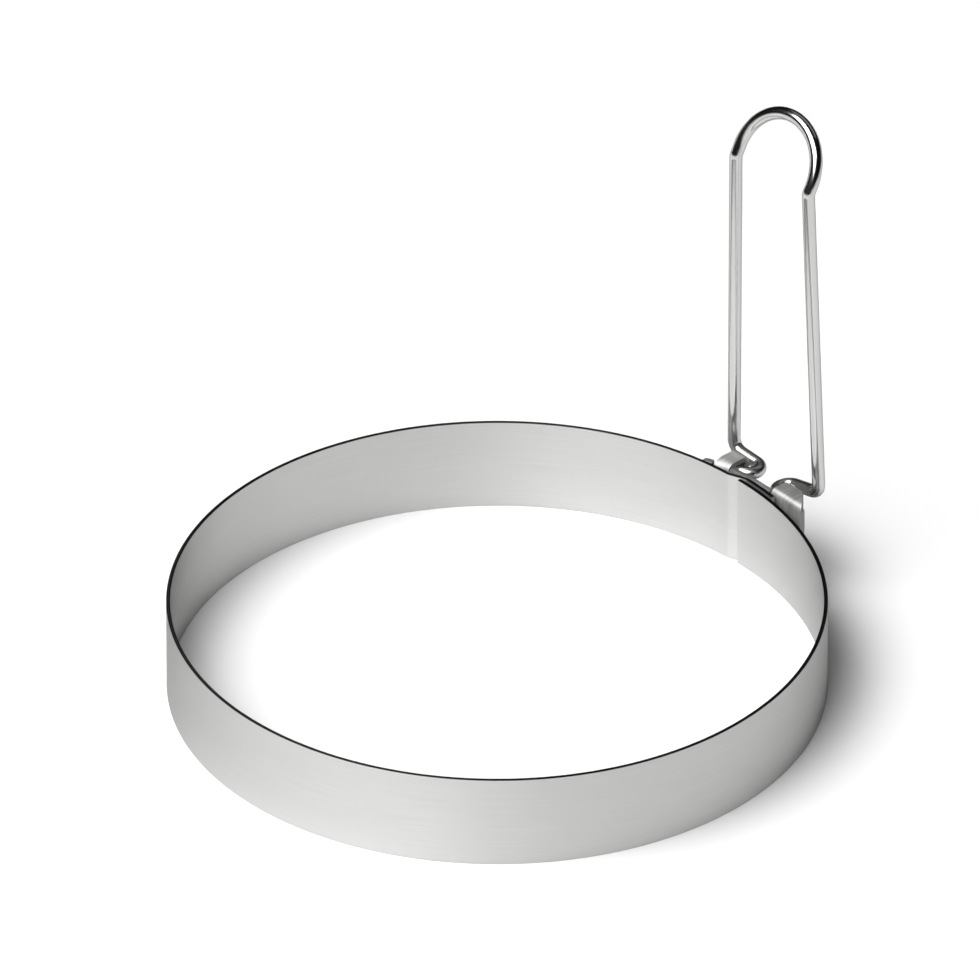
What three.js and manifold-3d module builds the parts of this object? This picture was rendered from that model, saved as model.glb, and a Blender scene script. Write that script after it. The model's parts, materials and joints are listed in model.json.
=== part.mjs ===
// Egg ring: a ring of lapped steel strip with a folding wire handle on a welded hinge bracket.
// Millimetres, +Z up. The ring stands on its lower edge and the hinge is on its +X side.
import * as THREE from "three";
import { mergeVertices } from "three/addons/utils/BufferGeometryUtils.js";
import Module from "manifold-3d";

const wasm = await Module();
wasm.setup();

// Ring band: one strip, rolled round with its ends lapped behind the hinge
const RING_DIAMETER = 100;
const RING_HEIGHT = 15;
const BAND_SHEET = 0.6;
const LAP_LENGTH = 7.6;
const LAP_PAST_HINGE = 1.4; // how far the inner end reaches past the middle of the hinge
const LAP_GAP = 0.4; // air between the two layers
const JOGGLE_LENGTH = 2.5; // the outer layer steps out over this length
const JOGGLE_LEAD = 0.1; // flat stretch of the outer layer past the inner end

// Hinge bracket: a plate on the outside of the lap, with two tabs rolled into knuckles
const WELD_GAP = 0.3; // plate to band
const PLATE_SHEET = 0.8;
const PLATE_BENT_SIDE = 9.7; // reach of the plate towards +Y, where it bends in to the band
const PLATE_FLAT_SIDE = 11.5; // reach of the plate towards -Y, where it stays flat
const PLATE_BELOW_RIM = 0.4;
const PLATE_HEIGHT = 10;
const PLATE_CORNER = 1.2; // at the top
const PLATE_FOOT = 6.4; // radius of the lower corners
const KNUCKLE_ABOVE_RIM = 0.1;
const KNUCKLE_APART = 9.2; // clear width between the two knuckles
const KNUCKLE_LENGTH = 2.7;
const FLARE_INSET = 0.2; // end of the flared -Y tab inside the end of the plate
const KNUCKLE_CORNER = 0.3; // inside bend radius of the rolled tab
const KNUCKLE_SLIT = 0.35; // free end of the rolled tab to the plate

// Wire handle: one bent wire that is its own pins, legs and hoop
const WIRE_DIAMETER = 2;
const PIN_PLAY = 0.3; // bore over wire diameter
const PIN_SHORT = 0.3; // end of the pin inside the end of the knuckle
const SIDE_PLAY = 0.2; // U-turn to knuckle, along the hinge axis
const RUN_CLEARANCE = 0.45; // outboard run to the knuckle
const RUN_RISE = 1.1; // outboard run at the leg over the U-turn
const LEG_SPREAD = 19.3; // between the legs at their lower bends
const LEG_HEIGHT = 54.9; // hinge axis to the bends under the hoop
const LEG_LEAN = 1.2; // degrees, towards the ring
const LOWER_BEND = 1.8; // bend radii, to the middle of the wire
const UPPER_BEND = 1.3;
const HOOP_NECK = 0.6; // straight wire between the upper bend and the hoop
const HOOP_RADIUS = 8.2;
const HOOP_TILT = 30; // degrees outwards from upright

// Facets
const RING_STEPS = 144;
const JOGGLE_STEPS = 8;
const PLATE_STEPS = 16;
const WIRE_SIDES = 16;
const CORNER_STEPS = 4;
const BEND_STEP = 15; // degrees of wire bend for each facet
const CUT_MARGIN = 5; // how far a cutting body reaches past what it cuts
const SAME_POINT = 1e-3; // points nearer than this are one

// Sizes that follow from the ones above
const ringRadius = RING_DIAMETER / 2;
const lapFace = ringRadius + LAP_GAP + BAND_SHEET;
const plateFace = lapFace + WELD_GAP;
const plateTop = RING_HEIGHT - PLATE_BELOW_RIM;
const plateBase = plateTop - PLATE_HEIGHT;
const wireRadius = WIRE_DIAMETER / 2;
const boreHalf = (WIRE_DIAMETER + PIN_PLAY) / 2;
const knuckleHalf = boreHalf + PLATE_SHEET;
const pinX = plateFace + knuckleHalf;
const pinZ = RING_HEIGHT + KNUCKLE_ABOVE_RIM - knuckleHalf;
const knuckleInner = KNUCKLE_APART / 2;
const knuckleEnd = knuckleInner + KNUCKLE_LENGTH;
const knuckleFlare = PLATE_FLAT_SIDE - FLARE_INSET - knuckleEnd;

// The bend that brings the +Y end of the plate to the weld gap outside the band
const plateDrop = plateFace - Math.sqrt((ringRadius + WELD_GAP) ** 2 - PLATE_BENT_SIDE ** 2);
const plateBend = (PLATE_BENT_SIDE ** 2 + plateDrop ** 2) / (2 * plateDrop);

const radians = THREE.MathUtils.degToRad;

const satinSteel = new THREE.MeshStandardMaterial({ color: 0xcfcfce, metalness: 1, roughness: 0.34 });
const bracketSteel = new THREE.MeshStandardMaterial({ color: 0xc2c2c0, metalness: 1, roughness: 0.28 });
const brightWire = new THREE.MeshStandardMaterial({ color: 0xdadad8, metalness: 1, roughness: 0.1 });

// Evenly spaced values from first to last, both included
function spread(first, last, steps) {
  return Array.from({ length: steps + 1 }, (_, i) => first + ((last - first) * i) / steps);
}

function extrude(outline, depth) {
  return new THREE.ExtrudeGeometry(outline, { depth, bevelEnabled: false, curveSegments: CORNER_STEPS });
}

// A closed geometry as a solid that can be joined and cut
function solid(geometry) {
  const bare = geometry.clone();
  bare.deleteAttribute("normal");
  bare.deleteAttribute("uv");
  const merged = mergeVertices(bare, SAME_POINT);
  const vertProperties = new Float32Array(merged.attributes.position.array);
  const triVerts = new Uint32Array(merged.index.array);
  return new wasm.Manifold(new wasm.Mesh({ numProp: 3, vertProperties, triVerts }));
}

function geometryOf(body) {
  const mesh = body.getMesh();
  const geometry = new THREE.BufferGeometry();
  geometry.setAttribute("position", new THREE.BufferAttribute(mesh.vertProperties, 3));
  geometry.setIndex(new THREE.BufferAttribute(mesh.triVerts, 1));
  geometry.computeVertexNormals();
  return geometry;
}

function named(name, geometry, material) {
  const mesh = new THREE.Mesh(geometry, material);
  mesh.name = name;
  return mesh;
}

// The strip in plan runs from the outer layer's end, down the joggle and round to the inner layer's end
function makeRingBand() {
  const innerEnd = LAP_PAST_HINGE / ringRadius;
  const outerEnd = innerEnd - LAP_LENGTH / ringRadius;
  const joggleStart = innerEnd + JOGGLE_LEAD / ringRadius;
  const joggleEnd = joggleStart + JOGGLE_LENGTH / ringRadius;
  const lapSteps = Math.ceil((RING_STEPS * (joggleStart - outerEnd)) / (2 * Math.PI));
  const angles = [
    ...spread(outerEnd, joggleStart, lapSteps),
    ...spread(joggleStart, joggleEnd, JOGGLE_STEPS).slice(1),
    ...spread(joggleEnd, 2 * Math.PI + innerEnd, RING_STEPS).slice(1),
  ];
  const face = (inset) =>
    angles.map((angle) => {
      const lift = 1 - THREE.MathUtils.smoothstep(angle, joggleStart, joggleEnd);
      const radius = ringRadius - inset + lift * (BAND_SHEET + LAP_GAP);
      return new THREE.Vector2(radius * Math.cos(angle), radius * Math.sin(angle));
    });
  const outline = new THREE.Shape([...face(0), ...face(BAND_SHEET).reverse()]);
  return named("ring_band", extrude(outline, RING_HEIGHT), satinSteel);
}

// Everything on the ring's side of the plate's inner face, with that face moved outwards by offset
function behindPlate(offset) {
  const bend = Math.asin((PLATE_BENT_SIDE + CUT_MARGIN) / plateBend);
  const face = spread(0, bend, PLATE_STEPS).map(
    (angle) => new THREE.Vector2(Math.cos(angle), Math.sin(angle)).multiplyScalar(plateBend + offset),
  );
  face.forEach((point) => point.setX(point.x + plateFace - plateBend));
  const back = face.at(-1).x - CUT_MARGIN;
  const flatEnd = -PLATE_FLAT_SIDE - CUT_MARGIN;
  const outline = new THREE.Shape([
    new THREE.Vector2(plateFace + offset, flatEnd),
    ...face,
    new THREE.Vector2(back, face.at(-1).y),
    new THREE.Vector2(back, flatEnd),
  ]);
  const height = RING_HEIGHT + KNUCKLE_ABOVE_RIM + 2 * CUT_MARGIN;
  return solid(extrude(outline, height).translate(0, 0, -CUT_MARGIN));
}

// The plate from the outside, y across and z up
function plateOutline() {
  const quarter = Math.PI / 2;
  const corner = PLATE_CORNER;
  const foot = PLATE_FOOT;
  return new THREE.Shape()
    .moveTo(-PLATE_FLAT_SIDE + foot, plateBase)
    .lineTo(PLATE_BENT_SIDE - foot, plateBase)
    .absarc(PLATE_BENT_SIDE - foot, plateBase + foot, foot, -quarter, 0)
    .lineTo(PLATE_BENT_SIDE, plateTop - corner)
    .absarc(PLATE_BENT_SIDE - corner, plateTop - corner, corner, 0, quarter)
    .lineTo(-PLATE_FLAT_SIDE + corner, plateTop)
    .absarc(-PLATE_FLAT_SIDE + corner, plateTop - corner, corner, quarter, 2 * quarter)
    .lineTo(-PLATE_FLAT_SIDE, plateBase + foot)
    .absarc(-PLATE_FLAT_SIDE + foot, plateBase + foot, foot, 2 * quarter, 3 * quarter);
}

// The rolled tab from its end: up the plate, over the pin, down and back under, with x from the pin outwards
function knuckleProfile(rootDepth) {
  const inner = KNUCKLE_CORNER;
  const outer = inner + PLATE_SHEET;
  const shoulder = knuckleHalf - outer;
  const seat = boreHalf - inner;
  const quarter = Math.PI / 2;
  const lip = -boreHalf + KNUCKLE_SLIT;
  return new THREE.Shape()
    .moveTo(-rootDepth, -boreHalf)
    .lineTo(-boreHalf, -boreHalf)
    .lineTo(-boreHalf, seat)
    .absarc(-seat, seat, inner, 2 * quarter, quarter, true)
    .lineTo(seat, boreHalf)
    .absarc(seat, seat, inner, quarter, 0, true)
    .lineTo(boreHalf, -seat)
    .absarc(seat, -seat, inner, 0, -quarter, true)
    .lineTo(lip, -boreHalf)
    .lineTo(lip, -knuckleHalf)
    .lineTo(shoulder, -knuckleHalf)
    .absarc(shoulder, -shoulder, outer, -quarter, 0, false)
    .lineTo(knuckleHalf, shoulder)
    .absarc(shoulder, shoulder, outer, 0, quarter, false)
    .lineTo(-shoulder, knuckleHalf)
    .absarc(-shoulder, shoulder, outer, quarter, 2 * quarter, false)
    .lineTo(-rootDepth, shoulder);
}

// One knuckle, on the +Y side or the -Y side, its end slanted so that it is longer at the plate by flare
function knuckle(side, flare) {
  const rootDepth = knuckleHalf + CUT_MARGIN;
  const length = KNUCKLE_LENGTH + flare + CUT_MARGIN;
  const tab = extrude(knuckleProfile(rootDepth), length)
    .rotateX(Math.PI / 2)
    .translate(pinX, side > 0 ? knuckleInner + length : -knuckleInner, pinZ);
  const crest = pinX + knuckleHalf;
  const endAt = (x) => knuckleEnd + (flare * (crest - x)) / (2 * knuckleHalf);
  const near = plateFace - CUT_MARGIN;
  const far = crest + CUT_MARGIN;
  const beyond = endAt(near) + CUT_MARGIN;
  const waste = new THREE.Shape([
    new THREE.Vector2(near, side * endAt(near)),
    new THREE.Vector2(far, side * endAt(far)),
    new THREE.Vector2(far, side * beyond),
    new THREE.Vector2(near, side * beyond),
  ]);
  const height = 2 * (knuckleHalf + CUT_MARGIN);
  const cutter = extrude(waste, height).translate(0, 0, pinZ - height / 2);
  return solid(tab).subtract(solid(cutter));
}

function makeHingeBracket() {
  const depth = 2 * (CUT_MARGIN + PLATE_SHEET);
  const slab = extrude(plateOutline(), depth)
    .rotateX(Math.PI / 2)
    .rotateZ(Math.PI / 2)
    .translate(plateFace - depth / 2, 0, 0);
  const body = solid(slab)
    .intersect(behindPlate(PLATE_SHEET))
    .add(knuckle(1, 0))
    .add(knuckle(-1, knuckleFlare))
    .subtract(behindPlate(0));
  return named("hinge_bracket", geometryOf(body), bracketSteel);
}

// A circular arc in space, turned about an axis through its centre
class Arc extends THREE.Curve {
  constructor(centre, start, axis, angle) {
    super();
    this.centre = centre;
    this.spoke = start.clone().sub(centre);
    this.axis = axis;
    this.angle = angle;
  }

  getPoint(t, target = new THREE.Vector3()) {
    return target.copy(this.spoke).applyAxisAngle(this.axis, this.angle * t).add(this.centre);
  }
}

// A wire of straight runs and bends. A straight run is one facet long and a bend has a facet for each step.
class BentWire extends THREE.Curve {
  constructor(runs) {
    super();
    this.runs = runs.map((curve) => ({
      curve,
      steps: curve.angle ? Math.ceil(curve.angle / radians(BEND_STEP)) : 1,
    }));
    this.steps = this.runs.reduce((total, run) => total + run.steps, 0);
  }

  getPoint(t, target = new THREE.Vector3()) {
    let place = t * this.steps;
    for (const run of this.runs) {
      if (place <= run.steps) return run.curve.getPoint(place / run.steps, target);
      place -= run.steps;
    }
    return this.runs.at(-1).curve.getPoint(1, target);
  }

  getPointAt(t, target) {
    return this.getPoint(t, target);
  }

  getTangentAt(t, target) {
    return this.getTangent(t, target);
  }
}

// The bend at a corner between two straight runs
function bendAt(corner, from, to, radius) {
  const arriving = corner.clone().sub(from).normalize();
  const leaving = to.clone().sub(corner).normalize();
  const turn = arriving.angleTo(leaving);
  const axis = arriving.clone().cross(leaving).normalize();
  const start = corner.clone().addScaledVector(arriving, -radius * Math.tan(turn / 2));
  const centre = start.clone().addScaledVector(axis.clone().cross(arriving), radius);
  return new Arc(centre, start, axis, turn);
}

// Straight runs through the corners, with a bend at each inner one
function bentRuns(corners) {
  const bends = corners
    .slice(1, -1)
    .map(({ at, bend }, i) => bendAt(at, corners[i].at, corners[i + 2].at, bend));
  const runs = [];
  let last = corners[0].at;
  for (const bend of bends) {
    const start = bend.getPoint(0);
    if (start.distanceTo(last) > SAME_POINT) runs.push(new THREE.LineCurve3(last, start));
    runs.push(bend);
    last = bend.getPoint(1);
  }
  const end = corners.at(-1).at;
  if (end.distanceTo(last) > SAME_POINT) runs.push(new THREE.LineCurve3(last, end));
  return runs;
}

function makeWireHandle() {
  const runOut = knuckleHalf + RUN_CLEARANCE + wireRadius;
  const uTurn = runOut / 2;
  const uApex = knuckleInner - SIDE_PLAY - uTurn;
  const pinEnd = knuckleEnd - PIN_SHORT;
  const runX = pinX + runOut;
  const legTopX = runX - LEG_HEIGHT * Math.tan(radians(LEG_LEAN));
  const legFoot = new THREE.Vector3(runX, LEG_SPREAD / 2, pinZ + RUN_RISE);
  const legTop = new THREE.Vector3(legTopX, HOOP_RADIUS, pinZ + LEG_HEIGHT);

  // The hoop is half a circle that starts a short neck past the bend at the top of the leg
  const tilt = radians(HOOP_TILT);
  const upTheHoop = new THREE.Vector3(Math.sin(tilt), 0, Math.cos(tilt));
  const turn = legTop.clone().sub(legFoot).angleTo(upTheHoop);
  const bendLength = UPPER_BEND * Math.tan(turn / 2);
  const hoopStart = legTop.clone().addScaledVector(upTheHoop, bendLength + HOOP_NECK);
  const hoopAxis = new THREE.Vector3(0, 1, 0).cross(upTheHoop);
  const hoop = new Arc(hoopStart.clone().setY(0), hoopStart, hoopAxis, Math.PI);

  const corners = [
    { at: new THREE.Vector3(pinX, pinEnd, pinZ) },
    { at: new THREE.Vector3(pinX, uApex, pinZ), bend: uTurn },
    { at: new THREE.Vector3(runX, uApex, pinZ), bend: uTurn },
    { at: legFoot, bend: LOWER_BEND },
    { at: legTop, bend: UPPER_BEND },
    { at: hoopStart },
  ];
  const mirrored = corners
    .map(({ at, bend }) => ({ at: at.clone().setY(-at.y), bend }))
    .reverse();
  const wire = new BentWire([...bentRuns(corners), hoop, ...bentRuns(mirrored)]);

  const section = new THREE.Shape().absarc(0, 0, wireRadius, 0, 2 * Math.PI);
  const geometry = new THREE.ExtrudeGeometry(section, {
    steps: wire.steps,
    extrudePath: wire,
    curveSegments: WIRE_SIDES / 2,
  });
  return named("wire_handle", geometry, brightWire);
}

const eggRing = new THREE.Group();
eggRing.add(makeRingBand(), makeHingeBracket(), makeWireHandle());

// The origin is on the base, under the middle of the whole object
const middle = new THREE.Box3().setFromObject(eggRing).getCenter(new THREE.Vector3());
eggRing.position.set(-middle.x, -middle.y, 0);

export default eggRing;
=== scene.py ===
import json
import math

import bmesh
import bpy
from bpy.props import FloatProperty, FloatVectorProperty, IntProperty, PointerProperty
from mathutils import Matrix, Vector


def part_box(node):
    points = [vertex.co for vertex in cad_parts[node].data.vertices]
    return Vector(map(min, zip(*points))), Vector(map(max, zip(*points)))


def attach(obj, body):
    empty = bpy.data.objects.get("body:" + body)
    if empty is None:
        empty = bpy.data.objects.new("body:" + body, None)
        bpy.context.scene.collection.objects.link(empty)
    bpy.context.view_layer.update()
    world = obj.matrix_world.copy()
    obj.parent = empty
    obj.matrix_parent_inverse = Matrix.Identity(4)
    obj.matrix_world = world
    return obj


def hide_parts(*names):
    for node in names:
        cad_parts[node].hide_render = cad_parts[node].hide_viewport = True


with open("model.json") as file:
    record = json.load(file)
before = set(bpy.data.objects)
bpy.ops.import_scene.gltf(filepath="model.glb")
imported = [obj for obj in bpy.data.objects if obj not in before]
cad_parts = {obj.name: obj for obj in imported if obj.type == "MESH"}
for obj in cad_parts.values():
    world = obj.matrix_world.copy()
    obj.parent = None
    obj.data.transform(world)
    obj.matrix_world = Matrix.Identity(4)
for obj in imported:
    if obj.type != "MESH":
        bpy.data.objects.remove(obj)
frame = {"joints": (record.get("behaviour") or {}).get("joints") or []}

bl_info = {
    "name": "Egg Ring",
    "version": (1, 0, 0),
    "blender": (4, 5, 0),
    "location": "View3D > Sidebar > Egg Ring",
    "description": "Builds an egg ring with a lapped band, a hinge bracket and a folding wire handle",
    "category": "Add Mesh",
}

MM = 0.001
MERGE = 0.001 * MM  # points nearer to each other than this are one point

# What the frame says: where the ring stands and where the handle turns
BAND_LOW, BAND_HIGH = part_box("ring_band")
BRACKET_LOW, BRACKET_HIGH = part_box("hinge_bracket")
HINGE = Vector(frame["joints"][0]["pos_m"])
RING_DIAMETER = BAND_HIGH.y - BAND_LOW.y
RING_HEIGHT = BAND_HIGH.z - BAND_LOW.z
RING_AXIS_X = BAND_LOW.x + RING_DIAMETER / 2


def length(name, description, default):
    """A size in metres that the sidebar shows."""
    return FloatProperty(
        name=name, description=description, default=default, min=0, precision=5, unit="LENGTH"
    )


def turn(name, description, default):
    """An angle that the sidebar shows in degrees, given here in degrees."""
    return FloatProperty(
        name=name, description=description, default=math.radians(default), subtype="ANGLE"
    )


def tone(name, description, default):
    """A colour that the sidebar shows."""
    return FloatVectorProperty(
        name=name, description=description, default=default, min=0, max=1, size=3, subtype="COLOR"
    )


class BandSettings(bpy.types.PropertyGroup):
    """Sizes and colours of the lapped steel band."""

    diameter: length("Diameter", "Outside diameter of the ring", RING_DIAMETER)
    height: length("Height", "Height of the strip", RING_HEIGHT)
    sheet: length("Sheet", "Thickness of the strip", 0.6 * MM)
    lap: length("Lap", "Length over which the two ends lie on each other", 6.95 * MM)
    lap_lead: length("Lap lead", "Reach of the inner end past the middle of the hinge", 0.75 * MM)
    lap_gap: length("Lap gap", "Air between the two layers", 0.4 * MM)
    joggle: length("Joggle", "Length over which the outer layer steps out", 2.9 * MM)
    joggle_cover: length("Joggle cover", "Stretch of the joggle behind the inner end", 0.75 * MM)
    edge: length("Edge", "Rounding of the sheared edges", 0.07 * MM)
    steps: IntProperty(name="Steps", description="Points round the strip", default=1080, min=90)
    pale: tone("Pale steel", "Colour of the brighter brush lines", (0.665, 0.665, 0.657))
    dark: tone("Dark steel", "Colour of the deeper brush lines", (0.595, 0.595, 0.588))


class BracketSettings(bpy.types.PropertyGroup):
    """Sizes and colours of the hinge bracket."""

    sheet: length("Sheet", "Thickness of the plate and the tabs", 0.8 * MM)
    bore: length("Bore", "Width inside a knuckle", 2.3 * MM)
    bend: length("Bend", "Inside radius of the bends of a knuckle", 0.3 * MM)
    slit: length("Slit", "Free edge of a knuckle to the plate", 0.35 * MM)
    apart: length("Apart", "Clear width between the knuckles", 9.2 * MM)
    knuckle: length("Knuckle", "Length of a knuckle at its crest", 2.7 * MM)
    plate_top: length("Plate top", "Top of the plate below the rim", 0.4 * MM)
    weld_gap: length("Weld gap", "Plate to band", 0.3 * MM)
    corner: length("Corner", "Radius of the plate's upper corner", 1.2 * MM)
    foot: length("Foot", "Radius of the plate's lower corners", 6.4 * MM)
    relief: length("Relief", "Width of the cut beside a tab", 0.3 * MM)
    edge: length("Edge", "Rounding of the sheared edges", 0.06 * MM)
    weld: length("Weld", "Diameter of a weld's dimple", 2.6 * MM)
    weld_depth: length("Weld depth", "Depth of a weld's dimple", 0.14 * MM)
    pale: tone("Pale steel", "Colour of the bright bracket steel", (0.58, 0.58, 0.572))
    dark: tone("Dark steel", "Colour of its brush lines", (0.36, 0.36, 0.355))


class WireSettings(bpy.types.PropertyGroup):
    """Sizes and colours of the bent wire handle."""

    diameter: length("Diameter", "Thickness of the wire", 2 * MM)
    run_out: length("Run out", "Pin to the outboard run", 3.4 * MM)
    apex: length("U-turn", "Middle of the hinge to the wire's U-turn", 2.7 * MM)
    pin_end: length("Pin end", "Middle of the hinge to the end of a pin", 7.0 * MM)
    rise: length("Rise", "Outboard run over the U-turn at the +Y leg", 0.35 * MM)
    other_rise: length("Other rise", "Outboard run over the U-turn at the -Y leg", 1.45 * MM)
    spread: length("Spread", "Between the legs at their lower bends", 19.3 * MM)
    leg: length("Leg", "Hinge axis to the bends under the hoop", 54.9 * MM)
    lean: turn("Lean", "Lean of the legs towards the ring", 1.2)
    lower_bend: length("Lower bend", "Radius of the bends under the legs", 1.8 * MM)
    upper_bend: length("Upper bend", "Radius of the bends under the hoop", 1.3 * MM)
    neck: length("Neck", "Straight wire between those bends and the hoop", 0.6 * MM)
    uneven: length("Uneven", "How much lower the bend under the hoop is on the +Y leg", 0.85 * MM)
    hoop: length("Hoop", "Radius of the hoop", 8.2 * MM)
    tilt: turn("Tilt", "Tilt of the hoop outwards from upright", 30)
    sides: IntProperty(name="Sides", description="Points round the wire", default=40, min=8)
    bend_steps: IntProperty(name="Bend steps", description="Points in each bend", default=28, min=4)
    pale: tone("Bright wire", "Colour of the bright wire", (0.63, 0.63, 0.62))
    dark: tone("Drawn lines", "Colour of the drawing lines", (0.52, 0.52, 0.51))


class StageSettings(bpy.types.PropertyGroup):
    """Floor, light and camera."""

    floor: tone("Floor", "Colour of the floor under the ring", (0.92, 0.92, 0.92))
    floor_reach: length("Floor reach", "Middle of the floor to its edges", 6.0)
    azimuth: turn("Azimuth", "Direction that the camera looks from", -41.5)
    elevation: turn("Elevation", "Height of the camera over the horizon", 32.8)
    lens: FloatProperty(name="Lens", description="Focal length in millimetres", default=1500, min=50)
    width: length("Width", "Width of the frame at the ring", 148.04 * MM)
    aim_left: length("Aim left", "Middle of the frame to the left of the ring's axis", 1.06 * MM)
    aim_up: length("Aim up", "Middle of the frame over the middle of the rim", 16.53 * MM)
    key_power: FloatProperty(name="Key", description="Power of the main lamp in watts", default=21.4)
    back_power: FloatProperty(name="Back", description="Power of the lamp behind in watts", default=0.9)


# Node trees

NODES_IN_ROW = 12
NODE_WIDTH, NODE_HEIGHT = 220, 260
CREASE = math.radians(40)  # edges that are bent more than this stay sharp


def socket(sockets, name):
    """An enabled socket by its name."""
    for found in sockets:
        if found.name == name and found.enabled:
            return found
    raise KeyError(f"no socket named {name}")


class Tree:
    """Short words for building a node tree from left to right."""

    def __init__(self, tree):
        self.tree = tree
        self.count = 0

    def add(self, kind, inputs=None, **settings):
        node = self.tree.nodes.new(kind)
        row, column = divmod(self.count, NODES_IN_ROW)
        node.location = (NODE_WIDTH * column, -NODE_HEIGHT * row)
        self.count += 1
        for key, value in settings.items():
            setattr(node, key, value)
        for name, value in (inputs or {}).items():
            target = node.inputs[name] if isinstance(name, int) else socket(node.inputs, name)
            self.put(target, value)
        return node

    def put(self, target, value):
        if isinstance(value, bpy.types.Node):
            value = next(found for found in value.outputs if found.enabled)
        if isinstance(value, bpy.types.NodeSocket):
            self.tree.links.new(value, target)
        else:
            target.default_value = value

    def math(self, operation, *values):
        return self.add("ShaderNodeMath", dict(enumerate(values)), operation=operation)

    def vector(self, x, y, z):
        return self.add("ShaderNodeCombineXYZ", {"X": x, "Y": y, "Z": z})


def new_shape_tree(name, inputs):
    """A geometry node group with named inputs after its geometry, and its input and output nodes."""
    group = bpy.data.node_groups.new(name, "GeometryNodeTree")
    group.interface.new_socket("Geometry", in_out="INPUT", socket_type="NodeSocketGeometry")
    for label, kind in inputs.items():
        group.interface.new_socket(label, in_out="INPUT", socket_type=kind)
    group.interface.new_socket("Geometry", in_out="OUTPUT", socket_type="NodeSocketGeometry")
    build = Tree(group)
    return group, build, build.add("NodeGroupInput")


def set_inputs(modifier, values):
    """Sets a modifier's inputs by their sockets' identifiers."""
    for item in modifier.node_group.interface.items_tree:
        if item.item_type == "SOCKET" and item.in_out == "INPUT" and item.name in values:
            modifier[item.identifier] = values[item.name]


def finish_shape(build, geometry, material):
    """Smooth faces with sharp creases, then plain geometry with its material."""
    angle = socket(build.add("GeometryNodeInputMeshEdgeAngle").outputs, "Unsigned Angle")
    sharp = build.add("FunctionNodeCompare", {"A": angle, "B": CREASE}, operation="GREATER_THAN")
    smooth = build.add("GeometryNodeSetShadeSmooth", {"Geometry": geometry})
    creased = build.add(
        "GeometryNodeSetShadeSmooth",
        {"Geometry": smooth, "Selection": sharp, "Shade Smooth": False},
        domain="EDGE",
    )
    plain = build.add("GeometryNodeRealizeInstances", {"Geometry": creased})
    done = build.add("GeometryNodeSetMaterial", {"Geometry": plain, "Material": material})
    build.add("NodeGroupOutput", {"Geometry": done})


def link_object(name, mesh):
    made = bpy.data.objects.new(name, mesh)
    bpy.context.scene.collection.objects.link(made)
    return made


def plain_mesh(made):
    """Turns what the modifiers make into the object's own mesh."""
    depsgraph = bpy.context.evaluated_depsgraph_get()
    mesh = bpy.data.meshes.new_from_object(
        made.evaluated_get(depsgraph), preserve_all_data_layers=True, depsgraph=depsgraph
    )
    made.modifiers.clear()
    made.data = mesh
    return mesh


def weigh_normals(made):
    """Lets the large faces set the shading beside the small rounded edges."""
    weighted = made.modifiers.new("weighted", "WEIGHTED_NORMAL")
    weighted.mode = "FACE_AREA"
    weighted.weight = 50
    weighted.keep_sharp = True
    plain_mesh(made)


def outward(made):
    """Points the faces of a closed piece outwards."""
    work = bmesh.new()
    work.from_mesh(made.data)
    bmesh.ops.recalc_face_normals(work, faces=work.faces)
    work.to_mesh(made.data)
    work.free()


def seat(made, node, body):
    """Puts a finished piece in the place of its solid."""
    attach(made, body)
    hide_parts(node)


# Finishes

FINE_SHARE = 0.7  # brush lines in the tint, the rest of it is slow variation
TINT_LOW, TINT_HIGH = 0.3, 0.62  # where the tint is at its darkest and its palest
ROUGH_LOW, ROUGH_HIGH = 0.3, 0.7  # where the roughness is at its least and its most
ACROSS_LINES = 0.25  # a quarter turn, so that highlights are long across the brush lines
WEAR = 0.13  # roughness that wear adds


def new_finish(name):
    material = bpy.data.materials.new(name)
    material.use_nodes = True
    material.node_tree.nodes.clear()
    return material, Tree(material.node_tree)


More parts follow.
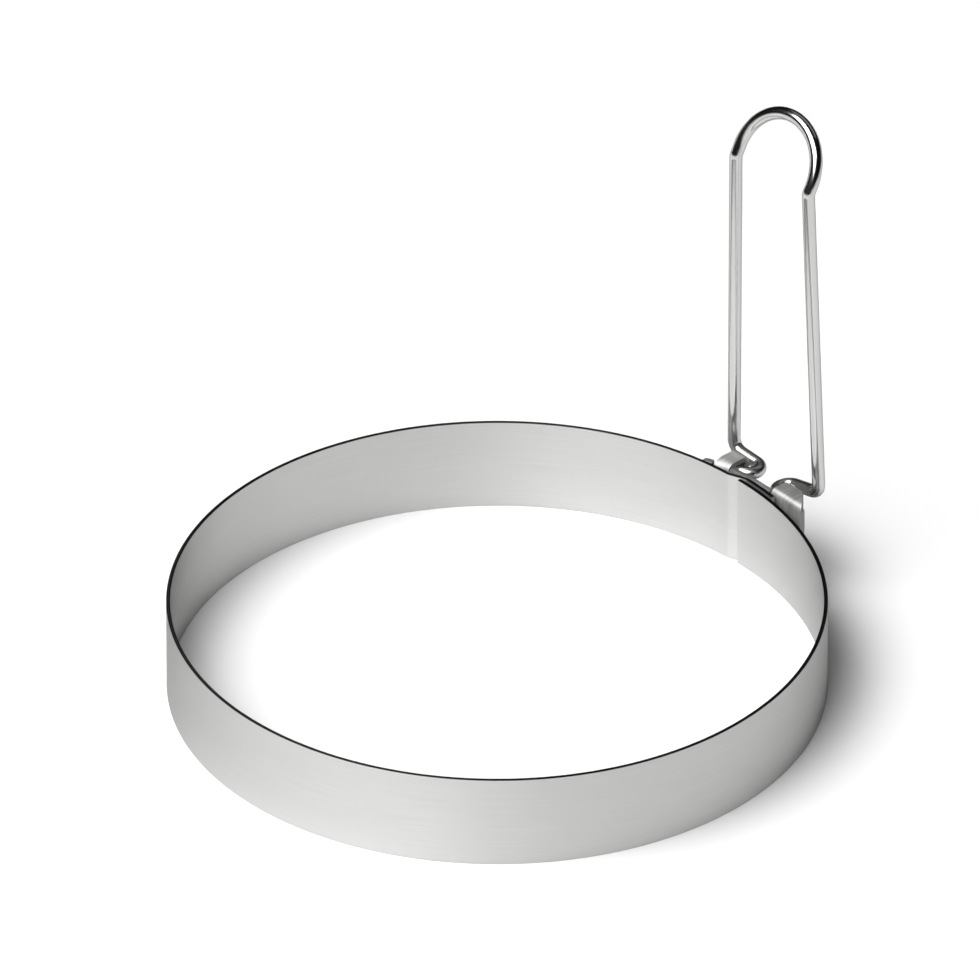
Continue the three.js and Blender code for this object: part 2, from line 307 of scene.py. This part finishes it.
def steel_finish(
    name,
    lines,
    coarse,
    pale,
    dark,
    roughness,
    anisotropic,
    relief,
    tangent=None,
    grazing=1.0,
    metallic=1.0,
    cut=None,
    # default edge tone: paints the band's rim near-black, a painted dark reflection
    edge_and_dark_reflection_tone=0.05,
    worn=None,
):
    """Brushed or drawn steel.

    lines and coarse place the brush lines and the slow variation, and cut and worn say how far a point is
    a sheared edge or is rubbed dull. Sheared edges take the edge tone, whose default of 0.05 paints the
    band's rim near-black as a painted dark reflection.
    """
    material, build = new_finish(name)
    fine = build.add(
        "ShaderNodeTexNoise",
        {"Vector": lines(build), "Scale": 1.0, "Detail": 3.0, "Roughness": 0.6},
    )
    slow = build.add(
        "ShaderNodeTexNoise",
        {"Vector": coarse(build), "Scale": 1.0, "Detail": 2.0, "Roughness": 0.5},
    )
    streak = socket(fine.outputs, "Fac")
    cloud = socket(slow.outputs, "Fac")
    blend = build.math(
        "ADD",
        build.math("MULTIPLY", streak, FINE_SHARE),
        build.math("MULTIPLY", cloud, 1 - FINE_SHARE),
    )
    tint = build.add("ShaderNodeValToRGB", {"Fac": blend})
    low, high = tint.color_ramp.elements
    low.position, low.color = TINT_LOW, (*dark, 1)
    high.position, high.color = TINT_HIGH, (*pale, 1)
    colour = socket(tint.outputs, "Color")
    if cut:
        edge = cut(build)
        # sheared edges take the edge tone; on the band's rim this is a painted dark reflection
        edge_and_dark_reflection_colour = (edge_and_dark_reflection_tone, edge_and_dark_reflection_tone, edge_and_dark_reflection_tone, 1)
        mixed = build.add(
            "ShaderNodeMix", {"Factor": edge, "A": colour, "B": edge_and_dark_reflection_colour}, data_type="RGBA"
        )
        colour = socket(mixed.outputs, "Result")
    smoothest, roughest = roughness
    rough = build.add(
        "ShaderNodeMapRange",
        {
            "Value": blend,
            "From Min": ROUGH_LOW,
            "From Max": ROUGH_HIGH,
            "To Min": smoothest,
            "To Max": roughest,
        },
    )
    if worn:
        rough = build.math("ADD", rough, build.math("MULTIPLY", worn(build), WEAR))
    strength, depth = relief
    bump = build.add("ShaderNodeBump", {"Height": streak, "Strength": strength, "Distance": depth})
    shader = build.add(
        "ShaderNodeBsdfPrincipled",
        {
            "Base Color": colour,
            "Roughness": rough,
            "Metallic": metallic,
            "Normal": bump,
            "Anisotropic": anisotropic,
            "Anisotropic Rotation": ACROSS_LINES,
            "Specular Tint": (grazing, grazing, grazing, 1),
        },
    )
    if tangent:
        direction = build.add("ShaderNodeTangent", direction_type="UV_MAP", uv_map=tangent)
        build.put(socket(shader.inputs, "Tangent"), direction)
    build.add("ShaderNodeOutputMaterial", {"Surface": shader})
    return material


def stretched(source, scale):
    """Coordinates of a pattern, stretched differently along each axis."""

    def make(build):
        where = source(build)
        return build.add("ShaderNodeMapping", {"Vector": where, "Scale": scale})

    return make


def object_place(build):
    """A point's place in its piece."""
    return socket(build.add("ShaderNodeTexCoord").outputs, "Object")


def named_place(name):
    """A point's place in a map that the piece carries."""

    def make(build):
        found = build.add("ShaderNodeAttribute", attribute_name=name)
        return socket(found.outputs, "Vector")

    return make


def named_share(name):
    """A share from 0 to 1 that the piece carries."""

    def make(build):
        found = build.add("ShaderNodeAttribute", attribute_name=name)
        return socket(found.outputs, "Fac")

    return make


# Band


def band_tree():
    """A strip swept round a lapped circle, upright, with rounded edges."""
    sizes = ["Diameter", "Height", "Sheet", "Lap", "Lap lead", "Lap gap"]
    sizes += ["Joggle", "Joggle cover", "Edge", "Axis"]
    inputs = {label: "NodeSocketFloat" for label in sizes}
    inputs["Steps"] = "NodeSocketInt"
    inputs["Material"] = "NodeSocketMaterial"
    group, build, given = new_shape_tree("lapped band", inputs)
    size = {label: socket(given.outputs, label) for label in inputs}

    radius = build.math("MULTIPLY", size["Diameter"], 0.5)
    inner_end = build.math("DIVIDE", size["Lap lead"], radius)
    outer_end = build.math("SUBTRACT", inner_end, build.math("DIVIDE", size["Lap"], radius))
    covered = build.math("DIVIDE", size["Joggle cover"], radius)
    joggle_start = build.math("SUBTRACT", inner_end, covered)
    joggle_end = build.math("ADD", joggle_start, build.math("DIVIDE", size["Joggle"], radius))

    line = build.add("GeometryNodeCurvePrimitiveLine")
    points = build.add(
        "GeometryNodeResampleCurve", {"Curve": line, "Count": size["Steps"]}, mode="COUNT"
    )
    place = socket(build.add("GeometryNodeSplineParameter").outputs, "Factor")
    angle = build.add(
        "ShaderNodeMapRange",
        {"Value": place, "To Min": outer_end, "To Max": build.math("ADD", inner_end, 2 * math.pi)},
    )
    lift = build.add(
        "ShaderNodeMapRange",
        {
            "Value": angle,
            "From Min": joggle_start,
            "From Max": joggle_end,
            "To Min": 1.0,
            "To Max": 0.0,
        },
    )
    step_out = build.math("MULTIPLY", lift, build.math("ADD", size["Sheet"], size["Lap gap"]))
    middle = build.math("SUBTRACT", radius, build.math("MULTIPLY", size["Sheet"], 0.5))
    reach = build.math("ADD", middle, step_out)
    x = build.math("ADD", size["Axis"], build.math("MULTIPLY", reach, build.math("COSINE", angle)))
    y = build.math("MULTIPLY", reach, build.math("SINE", angle))
    z = build.math("MULTIPLY", size["Height"], 0.5)
    path = build.add(
        "GeometryNodeSetPosition", {"Geometry": points, "Position": build.vector(x, y, z)}
    )
    path = build.add("GeometryNodeSetCurveNormal", {"Curve": path}, mode="Z_UP")
    along = socket(build.add("GeometryNodeSplineParameter").outputs, "Length")
    path = build.add(
        "GeometryNodeStoreNamedAttribute",
        {"Geometry": path, "Name": "along", "Value": along},
        data_type="FLOAT",
        domain="POINT",
    )
    section = build.add(
        "GeometryNodeCurvePrimitiveQuadrilateral", {"Width": size["Sheet"], "Height": size["Height"]}
    )
    section = build.add(
        "GeometryNodeFilletCurve", {"Curve": section, "Count": 3, "Radius": size["Edge"]}, mode="POLY"
    )
    strip = build.add(
        "GeometryNodeCurveToMesh", {"Curve": path, "Profile Curve": section, "Fill Caps": True}
    )
    stored = build.add("GeometryNodeInputNamedAttribute", {"Name": "along"}, data_type="FLOAT")
    spot = build.add("ShaderNodeSeparateXYZ", {"Vector": build.add("GeometryNodeInputPosition")})
    unrolled = build.vector(socket(stored.outputs, "Attribute"), socket(spot.outputs, "Z"), 0.0)
    mapped = build.add(
        "GeometryNodeStoreNamedAttribute",
        {"Geometry": strip, "Name": "strip", "Value": unrolled},
        data_type="FLOAT2",
        domain="CORNER",
    )
    finish_shape(build, mapped, size["Material"])
    return group


def painted_dark_rim(height, edge):
    """How far a point lies on one of the strip's two sheared edges, which are painted near-black as a
    painted dark reflection of the rim.
    """
    half = height / 2
    outermost = 0.3 * edge  # depth down to which the sheared edge is fully painted dark

    def make(build):
        spot = build.add("ShaderNodeSeparateXYZ", {"Vector": object_place(build)})
        off = build.math("ABSOLUTE", build.math("SUBTRACT", socket(spot.outputs, "Z"), half))
        return build.add(
            "ShaderNodeMapRange",
            {"Value": off, "From Min": half - edge, "From Max": half - outermost},
        )

    return make


def band_finish(band):
    """Satin steel, brushed along the strip, with its sheared edges painted near-black as a painted dark
    reflection.
    """
    return steel_finish(
        "satin band steel",
        lines=stretched(named_place("strip"), (60, 9000, 1)),
        coarse=stretched(object_place, (35, 35, 120)),
        pale=band.pale,
        dark=band.dark,
        roughness=(0.38, 0.46),
        anisotropic=0.8,
        relief=(0.12, 0.02 * MM),
        tangent="strip",
        grazing=0.42,
        # the rim's sheared edges get a painted dark reflection
        cut=painted_dark_rim(band.height, band.edge),
    )


class EGGRING_OT_band(bpy.types.Operator):
    """Makes the lapped steel band"""

    bl_idname = "eggring.band"
    bl_label = "Band"

    def execute(self, context):
        band = context.scene.eggring_band
        made = link_object("band", bpy.data.meshes.new("band"))
        shape = made.modifiers.new("strip", "NODES")
        shape.node_group = band_tree()
        set_inputs(
            shape,
            {
                "Diameter": band.diameter,
                "Height": band.height,
                "Sheet": band.sheet,
                "Lap": band.lap,
                "Lap lead": band.lap_lead,
                "Lap gap": band.lap_gap,
                "Joggle": band.joggle,
                "Joggle cover": band.joggle_cover,
                "Edge": band.edge,
                "Axis": RING_AXIS_X,
                "Steps": band.steps,
                "Material": band_finish(band),
            },
        )
        plain_mesh(made)
        outward(made)
        weigh_normals(made)
        seat(made, "ring_band", "ring")
        return {"FINISHED"}


# Bracket

BEND_STEPS = 6  # points in each bend of a tab
PLATE_ROWS = 22  # faces up the plate
BENT_COLUMNS, TAB_COLUMNS, MIDDLE_COLUMNS, FLAT_COLUMNS = 14, 9, 36, 24  # faces along it, from +Y to -Y
PLATE_ROOM, TAB_ROOM = 2.3, 3.4  # narrowest column at an end of the plate, in roundings of the edge
WELD_PLACES = (-4.4 * MM, -0.2 * MM)  # welds along the hinge axis
WELD_HEIGHT = 4.4 * MM  # welds over the plate's lower edge
ROUNDED = math.radians(50)  # edges that are bent more than this are rounded


class Bracket:
    """The bracket's middle surface: a plate with a bent side and two tabs rolled over the pins."""

    def __init__(self, settings, band):
        self.s = settings
        self.face = HINGE.x - settings.bore / 2 - settings.sheet  # inner face of the plate
        self.top = BAND_HIGH.z - settings.plate_top
        self.base = BRACKET_LOW.z
        self.bent_end = BRACKET_HIGH.y
        self.flat_end = BRACKET_LOW.y
        self.inner = settings.apart / 2
        self.crest_end = self.inner + settings.knuckle
        self.half = settings.bore / 2 + settings.sheet
        drop = self.face - RING_AXIS_X - math.sqrt(
            (band.diameter / 2 + settings.weld_gap) ** 2 - self.bent_end**2
        )
        self.bend = (self.bent_end**2 + drop**2) / (2 * drop)
        self.middle = settings.bend + settings.sheet / 2  # bend radius at the middle of the sheet
        self.roof = HINGE.z + settings.bore / 2 + settings.sheet / 2
        self.shoulder = self.roof - self.middle

    def plate_x(self, y):
        """The plate's middle surface, flat towards -Y and bent in to the band towards +Y."""
        radius = self.bend + self.s.sheet / 2
        inset = radius - math.sqrt(radius**2 - y**2) if y > 0 else 0
        return self.face + self.s.sheet / 2 - inset

    def plate_low(self, y):
        """Lower edge of the plate, with its rounded corners."""
        room = min(self.bent_end - y, y - self.flat_end)
        foot = self.s.foot
        if room >= foot:
            return self.base
        return self.base + foot - math.sqrt(max(foot**2 - (foot - room) ** 2, 0))

    def plate_high(self, y):
        """Upper edge of the plate, with its rounded corner on the bent side."""
        room = self.bent_end - y
        corner = self.s.corner
        if room >= corner:
            return self.top
        return self.top - corner + math.sqrt(max(corner**2 - (corner - room) ** 2, 0))

    def tab_end(self, side, x):
        """Where a tab ends along the hinge axis: the -Y tab is wider at its root."""
        if side > 0:
            return self.crest_end
        crest = HINGE.x + self.half
        root = self.face + self.s.sheet / 2
        return self.crest_end + (-self.flat_end - self.crest_end) * (crest - x) / (crest - root)

    def tab_path(self, start_x):
        """The rolled tab in section, from the plate's shoulder over the pin and back under it."""
        r = self.middle
        near = HINGE.x - self.s.bore / 2 - self.s.sheet / 2
        far = HINGE.x + self.s.bore / 2 + self.s.sheet / 2
        floor = HINGE.z - self.s.bore / 2 - self.s.sheet / 2
        lip = HINGE.x - self.s.bore / 2 + self.s.slit
        points = []

        def arc(x, z, first):
            for i in range(BEND_STEPS + 1):
                angle = math.radians(first - 90 * i / BEND_STEPS)
                points.append((x + r * math.cos(angle), z + r * math.sin(angle)))

        arc(near + r, self.roof - r, 180)
        arc(far - r, self.roof - r, 90)
        arc(far - r, floor + r, 0)
        points.append((lip, floor))
        lead = points[0][0] - start_x
        blended = []
        for i, (x, z) in enumerate(points):
            fade = max(0.0, 1 - i / BEND_STEPS)
            blended.append((x - lead * fade, z))
        return blended


def span(first, last, count):
    """Evenly spaced values from the first to the last."""
    return [first + (last - first) * i / count for i in range(count + 1)]


def eased(first, last, count, gap):
    """Like span, but closer and closer together towards the last value, down to a gap."""
    places = [first + (last - first) * math.sin(t) for t in span(0, math.pi / 2, count)]
    return [place for place in places if abs(last - place) > gap] + [last]


def bracket_surface(form):
    """Faces of the middle surface: the plate up to the shoulder, and over it the plate and the tabs.

    Over the shoulder, each stretch along the hinge axis goes on as plate (True), as a cut (False) or as
    the tab on one side (1 or -1).
    """
    s = form.s
    beside_bent, beside_flat = form.crest_end + s.relief, form.inner - s.relief
    stretches = [
        (eased(beside_bent, form.bent_end, BENT_COLUMNS, PLATE_ROOM * s.edge)[::-1], True),
        ((beside_bent, form.crest_end), False),
        (span(form.crest_end, form.inner, TAB_COLUMNS), 1),
        ((form.inner, beside_flat), False),
        (span(beside_flat, -beside_flat, MIDDLE_COLUMNS), True),
        ((-beside_flat, -form.inner), False),
        (eased(-form.inner, form.flat_end, FLAT_COLUMNS, TAB_ROOM * s.edge), -1),
    ]
    work = bmesh.new()
    previous = None
    for places, kind in stretches:
        for i, y in enumerate(places):
            if previous is None or i > 0:
                low = form.plate_low(y)
                shoulder = max(min(form.shoulder, form.plate_high(y)), low)
                x = form.plate_x(y)
                column = [work.verts.new((x, y, z)) for z in span(low, shoulder, PLATE_ROWS)]
                if previous is not None:
                    for a, b, c, d in zip(previous, column, column[1:], previous[1:]):
                        work.faces.new((a, b, c, d))
                previous = column
            if i == 0:
                block = [previous[-1]]
            else:
                block.append(previous[-1])
        if kind is True:
            upper = []
            for vert in block:
                high = form.plate_high(vert.co.y)
                high = high if high - vert.co.z > 2 * s.edge else vert.co.z
                upper.append(work.verts.new((vert.co.x, vert.co.y, high)))
            for a, b, c, d in zip(block, block[1:], upper[1:], upper):
                work.faces.new((a, b, c, d))
        elif kind is not False:
            side = kind
            paths = [form.tab_path(vert.co.x) for vert in block]
            root = max(abs(vert.co.y) for vert in block) - form.inner
            lower = block
            for level in range(1, len(paths[0])):
                upper = []
                for i, vert in enumerate(block):
                    x, z = paths[i][level]
                    share = (abs(vert.co.y) - form.inner) / root
                    y = side * (form.inner + share * (form.tab_end(side, x) - form.inner))
                    upper.append(work.verts.new((x, y, z)))
                for a, b, c, d in zip(lower, lower[1:], upper[1:], upper):
                    work.faces.new((a, b, c, d))
                lower = upper
    return work


def press_welds(work, form):
    """Round dimples where the plate is welded to the lap."""
    radius = form.s.weld / 2
    for y in WELD_PLACES:
        for vert in work.verts:
            away = math.hypot(vert.co.y - y, vert.co.z - form.base - WELD_HEIGHT) / radius
            if away < 1 and vert.co.x < HINGE.x - form.s.bore / 2:
                vert.co.x -= form.s.weld_depth * (1 - away**2) ** 2


def mark_cuts(mesh):
    """Notes which faces are sheared edges, which have the second material slot, and drops that slot."""
    shares = [float(face.material_index) for face in mesh.polygons]
    mesh.attributes.new("cut", "FLOAT", "FACE").data.foreach_set("value", shares)
    mesh.polygons.foreach_set("material_index", [0] * len(shares))
    mesh.materials.pop(index=1)


def bracket_finish(settings):
    """Dull bright steel, brushed across the tabs, with darker sheared edges."""
    return steel_finish(
        "bright bracket steel",
        lines=stretched(object_place, (180, 4000, 180)),
        coarse=stretched(object_place, (300, 300, 300)),
        pale=settings.pale,
        dark=settings.dark,
        roughness=(0.5, 0.62),
        anisotropic=0.3,
        relief=(0.25, 0.03 * MM),
        metallic=0.8,
        cut=named_share("cut"),
        edge_and_dark_reflection_tone=0.3,
    )


class EGGRING_OT_bracket(bpy.types.Operator):
    """Makes the hinge bracket with its two rolled knuckles"""

    bl_idname = "eggring.bracket"
    bl_label = "Bracket"

    def execute(self, context):
        settings = context.scene.eggring_bracket
        form = Bracket(settings, context.scene.eggring_band)
        work = bracket_surface(form)
        press_welds(work, form)
        bmesh.ops.remove_doubles(work, verts=work.verts, dist=MERGE)
        bmesh.ops.recalc_face_normals(work, faces=work.faces)
        mesh = bpy.data.meshes.new("bracket")
        work.to_mesh(mesh)
        work.free()
        made = link_object("bracket", mesh)
        finish = bracket_finish(settings)
        mesh.materials.append(finish)
        mesh.materials.append(finish)
        thick = made.modifiers.new("sheet", "SOLIDIFY")
        thick.material_offset_rim = 1
        thick.thickness = settings.sheet
        thick.offset = 0
        thick.use_even_offset = True
        rounded = made.modifiers.new("edges", "BEVEL")
        rounded.width = settings.edge
        rounded.segments = 3
        rounded.limit_method = "ANGLE"
        rounded.angle_limit = ROUNDED
        plain_mesh(made)
        outward(made)
        made.data.polygons.foreach_set("use_smooth", [True] * len(made.data.polygons))
        mark_cuts(made.data)
        weigh_normals(made)
        seat(made, "hinge_bracket", "ring")
        return {"FINISHED"}


# Wire

BEND_FIT = 0.9995  # share of each bend's radius, so that bends that meet do not overlap
WORN_FULLY, WORN_NOT = HINGE.z + 1.5 * MM, HINGE.z + 7 * MM  # heights between which the wear ends


def wire_half(wire, side):
    """Corners of the wire's path from the pin on one side to the hoop, with the bend's radius at each."""
    run_x = HINGE.x + wire.run_out
    turn_radius = wire.run_out / 2
    top_x = run_x - wire.leg * math.tan(wire.lean)
    rise, drop = (wire.rise, wire.uneven) if side > 0 else (wire.other_rise, 0)
    foot = Vector((run_x, wire.spread / 2, HINGE.z + rise))
    top = Vector((top_x, wire.hoop, HINGE.z + wire.leg))
    up = Vector((math.sin(wire.tilt), 0, math.cos(wire.tilt)))
    start = top + up * (wire.upper_bend * math.tan((top - foot).angle(up) / 2) + wire.neck)
    corners = [
        (Vector((HINGE.x, wire.pin_end, HINGE.z)), 0),
        (Vector((HINGE.x, wire.apex, HINGE.z)), turn_radius),
        (Vector((run_x, wire.apex, HINGE.z)), turn_radius),
        (foot, wire.lower_bend),
        (top - Vector((0, 0, drop)), wire.upper_bend),
        (start + up * wire.hoop, wire.hoop),
    ]
    return [(Vector((at.x, side * at.y, at.z)), bend) for at, bend in corners]


def wire_tree():
    """A round wire along a path of corners, each with its own bend radius."""
    inputs = {
        "Diameter": "NodeSocketFloat",
        "Sides": "NodeSocketInt",
        "Bend steps": "NodeSocketInt",
        "Material": "NodeSocketMaterial",
    }
    group, build, given = new_shape_tree("bent wire", inputs)
    size = {label: socket(given.outputs, label) for label in inputs}
    path = build.add("GeometryNodeMeshToCurve", {"Mesh": socket(given.outputs, "Geometry")})
    bend = build.add("GeometryNodeInputNamedAttribute", {"Name": "bend"}, data_type="FLOAT")
    path = build.add(
        "GeometryNodeFilletCurve",
        {"Curve": path, "Count": size["Bend steps"], "Radius": socket(bend.outputs, "Attribute")},
        mode="POLY",
    )
    along = socket(build.add("GeometryNodeSplineParameter").outputs, "Length")
    path = build.add(
        "GeometryNodeStoreNamedAttribute",
        {"Geometry": path, "Name": "along", "Value": along},
        data_type="FLOAT",
        domain="POINT",
    )
    section = build.add(
        "GeometryNodeCurvePrimitiveCircle",
        {"Resolution": size["Sides"], "Radius": build.math("MULTIPLY", size["Diameter"], 0.5)},
        mode="RADIUS",
    )
    section = build.add(
        "GeometryNodeStoreNamedAttribute",
        {"Geometry": section, "Name": "around", "Value": build.add("GeometryNodeInputPosition")},
        data_type="FLOAT_VECTOR",
        domain="POINT",
    )
    tube = build.add(
        "GeometryNodeCurveToMesh", {"Curve": path, "Profile Curve": section, "Fill Caps": True}
    )
    stored = build.add("GeometryNodeInputNamedAttribute", {"Name": "along"}, data_type="FLOAT")
    ring = build.add("GeometryNodeInputNamedAttribute", {"Name": "around"}, data_type="FLOAT_VECTOR")
    split = build.add("ShaderNodeSeparateXYZ", {"Vector": socket(ring.outputs, "Attribute")})
    drawn = build.vector(
        socket(split.outputs, "X"), socket(split.outputs, "Y"), socket(stored.outputs, "Attribute")
    )
    marked = build.add(
        "GeometryNodeStoreNamedAttribute",
        {"Geometry": tube, "Name": "drawn", "Value": drawn},
        data_type="FLOAT_VECTOR",
        domain="POINT",
    )
    corners = socket(build.add("GeometryNodeInputMeshFaceNeighbors").outputs, "Vertex Count")
    cap = build.add(
        "FunctionNodeCompare", {"A": corners, "B": 4}, data_type="INT", operation="GREATER_THAN"
    )
    capped = build.add(
        "GeometryNodeStoreNamedAttribute",
        {"Geometry": marked, "Name": "cut", "Value": cap},
        data_type="FLOAT",
        domain="FACE",
    )
    finish_shape(build, capped, size["Material"])
    return group


def near_hinge(build):
    """How near a point of the wire is to the knuckles, where it is rubbed dull."""
    spot = build.add("ShaderNodeSeparateXYZ", {"Vector": object_place(build)})
    return build.add(
        "ShaderNodeMapRange",
        {
            "Value": socket(spot.outputs, "Z"),
            "From Min": WORN_FULLY,
            "From Max": WORN_NOT,
            "To Min": 1.0,
            "To Max": 0.0,
        },
        interpolation_type="SMOOTHSTEP",
    )


def wire_finish(wire):
    """Bright drawn steel with fine lines along the wire, duller beside the knuckles."""
    return steel_finish(
        "bright drawn wire",
        lines=stretched(named_place("drawn"), (5200, 5200, 40)),
        coarse=stretched(object_place, (160, 160, 60)),
        pale=wire.pale,
        dark=wire.dark,
        roughness=(0.12, 0.18),
        anisotropic=0.0,
        relief=(0.06, 0.02 * MM),
        grazing=0.35,
        cut=named_share("cut"),
        edge_and_dark_reflection_tone=0.35,
        worn=near_hinge,
    )


class EGGRING_OT_wire(bpy.types.Operator):
    """Makes the wire handle along its bent path"""

    bl_idname = "eggring.wire"
    bl_label = "Wire handle"

    def execute(self, context):
        wire = context.scene.eggring_wire
        corners = wire_half(wire, 1) + wire_half(wire, -1)[::-1]
        mesh = bpy.data.meshes.new("wire")
        edges = [(i, i + 1) for i in range(len(corners) - 1)]
        mesh.from_pydata([at for at, bend in corners], edges, [])
        bends = mesh.attributes.new("bend", "FLOAT", "POINT")
        bends.data.foreach_set("value", [bend * BEND_FIT for at, bend in corners])
        made = link_object("wire", mesh)
        shape = made.modifiers.new("tube", "NODES")
        shape.node_group = wire_tree()
        set_inputs(
            shape,
            {
                "Diameter": wire.diameter,
                "Sides": wire.sides,
                "Bend steps": wire.bend_steps,
                "Material": wire_finish(wire),
            },
        )
        plain_mesh(made)
        outward(made)
        seat(made, "wire_handle", "handle")
        return {"FINISHED"}


# Stage

LAMP_AIM = Vector((RING_AXIS_X, 0, 20 * MM))
HORIZON, OVERHEAD = 0.6, 0.005  # brightness of the room at the horizon and overhead
PALE_UP_TO, DARK_FROM = 0.02, 0.08  # heights between which one turns into the other
SENSOR = 36
FAR = 200


def around_camera(stage, azimuth, elevation):
    """A direction given from the camera: 0 to its right, 90 away from it, and up from the horizon."""
    right = Vector((math.cos(stage.azimuth), math.sin(stage.azimuth), 0))
    away = Vector((-math.sin(stage.azimuth), math.cos(stage.azimuth), 0))
    a, e = math.radians(azimuth), math.radians(elevation)
    level = right * math.cos(a) + away * math.sin(a)
    return level * math.cos(e) + Vector((0, 0, math.sin(e)))


def add_softbox(stage, name, azimuth, elevation, distance, size, power, spread):
    """A soft lamp that points at the ring, dimmer towards its rim the smaller its spread is."""
    lamp = bpy.data.lights.new(name, "AREA")
    lamp.shape = "RECTANGLE"
    lamp.size, lamp.size_y = size
    lamp.energy = power
    lamp.spread = math.radians(spread)
    made = bpy.data.objects.new(name, lamp)
    bpy.context.scene.collection.objects.link(made)
    direction = around_camera(stage, azimuth, elevation)
    made.location = LAMP_AIM + direction * distance
    made.rotation_euler = direction.to_track_quat("Z", "Y").to_euler()
    made.visible_camera = False


def add_floor(stage):
    """A plain pale floor under the ring."""
    reach = stage.floor_reach
    mesh = bpy.data.meshes.new("floor")
    corners = [(-reach, -reach, 0), (reach, -reach, 0), (reach, reach, 0), (-reach, reach, 0)]
    mesh.from_pydata(corners, [], [(0, 1, 2, 3)])
    material, build = new_finish("pale floor")
    shader = build.add(
        "ShaderNodeBsdfPrincipled",
        {"Base Color": (*stage.floor, 1), "Roughness": 0.8, "Specular IOR Level": 0.1},
    )
    build.add("ShaderNodeOutputMaterial", {"Surface": shader})
    mesh.materials.append(material)
    link_object("floor", mesh)


def add_world():
    """Pale near the horizon and dark overhead."""
    world = bpy.data.worlds.new("studio")
    bpy.context.scene.world = world
    world.use_nodes = True
    world.node_tree.nodes.clear()
    build = Tree(world.node_tree)
    place = socket(build.add("ShaderNodeTexCoord").outputs, "Generated")
    height = socket(build.add("ShaderNodeSeparateXYZ", {"Vector": place}).outputs, "Z")
    shade = build.add("ShaderNodeValToRGB", {"Fac": height})
    low, high = shade.color_ramp.elements
    low.position, low.color = PALE_UP_TO, (HORIZON, HORIZON, HORIZON, 1)
    high.position, high.color = DARK_FROM, (OVERHEAD, OVERHEAD, OVERHEAD, 1)
    glow = build.add("ShaderNodeBackground", {"Color": shade, "Strength": 1.0})
    build.add("ShaderNodeOutputWorld", {"Surface": glow})


def add_camera(stage):
    """A long lens that looks down at the ring, with the rim below the middle of the frame."""
    camera = bpy.data.cameras.new("camera")
    camera.lens = stage.lens
    camera.sensor_width = SENSOR
    camera.clip_end = FAR
    made = bpy.data.objects.new("camera", camera)
    bpy.context.scene.collection.objects.link(made)
    a, e = stage.azimuth, stage.elevation
    back = Vector((math.sin(a) * math.cos(e), -math.cos(a) * math.cos(e), math.sin(e)))
    right = Vector((math.cos(a), math.sin(a), 0))
    up = back.cross(right)
    rim = Vector((RING_AXIS_X, 0, RING_HEIGHT))
    aim = rim - right * stage.aim_left + up * stage.aim_up
    made.location = aim + back * stage.width * stage.lens / SENSOR
    made.rotation_euler = Matrix((right, up, back)).transposed().to_euler()
    bpy.context.scene.camera = made


class EGGRING_OT_stage(bpy.types.Operator):
    """Makes the floor, the light and the camera"""

    bl_idname = "eggring.stage"
    bl_label = "Stage"

    def execute(self, context):
        stage = context.scene.eggring_stage
        context.scene.view_settings.view_transform = "Standard"
        add_floor(stage)
        add_world()
        add_softbox(
            stage,
            "key",
            azimuth=-147,
            elevation=60,
            distance=1.8,
            size=(2.4, 1.5),
            power=stage.key_power,
            spread=90,
        )
        add_softbox(
            stage,
            "back",
            azimuth=65,
            elevation=50,
            distance=1.5,
            size=(1.6, 0.6),
            power=stage.back_power,
            spread=180,
        )
        add_camera(stage)
        return {"FINISHED"}


class EGGRING_PT_panel(bpy.types.Panel):
    """Lists the pieces of the egg ring and their sizes"""

    bl_idname = "EGGRING_PT_panel"
    bl_label = "Egg Ring"
    bl_space_type = "VIEW_3D"
    bl_region_type = "UI"
    bl_category = "Egg Ring"

    def draw(self, context):
        for part in ("band", "bracket", "wire", "stage"):
            box = self.layout.box()
            box.operator(f"eggring.{part}")
            settings = getattr(context.scene, f"eggring_{part}")
            for name in settings.bl_rna.properties.keys():
                if name not in ("rna_type", "name"):
                    box.prop(settings, name)


SETTINGS = {
    "eggring_band": BandSettings,
    "eggring_bracket": BracketSettings,
    "eggring_wire": WireSettings,
    "eggring_stage": StageSettings,
}
CLASSES = (
    *SETTINGS.values(),
    EGGRING_OT_band,
    EGGRING_OT_bracket,
    EGGRING_OT_wire,
    EGGRING_OT_stage,
    EGGRING_PT_panel,
)


def register():
    for cls in CLASSES:
        bpy.utils.register_class(cls)
    for name, cls in SETTINGS.items():
        setattr(bpy.types.Scene, name, PointerProperty(type=cls))


def unregister():
    for name in SETTINGS:
        delattr(bpy.types.Scene, name)
    for cls in reversed(CLASSES):
        bpy.utils.unregister_class(cls)


def main():
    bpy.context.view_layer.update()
    register()
    bpy.ops.eggring.stage()
    bpy.ops.eggring.band()
    bpy.ops.eggring.bracket()
    bpy.ops.eggring.wire()


if __name__ == "__main__":
    main()
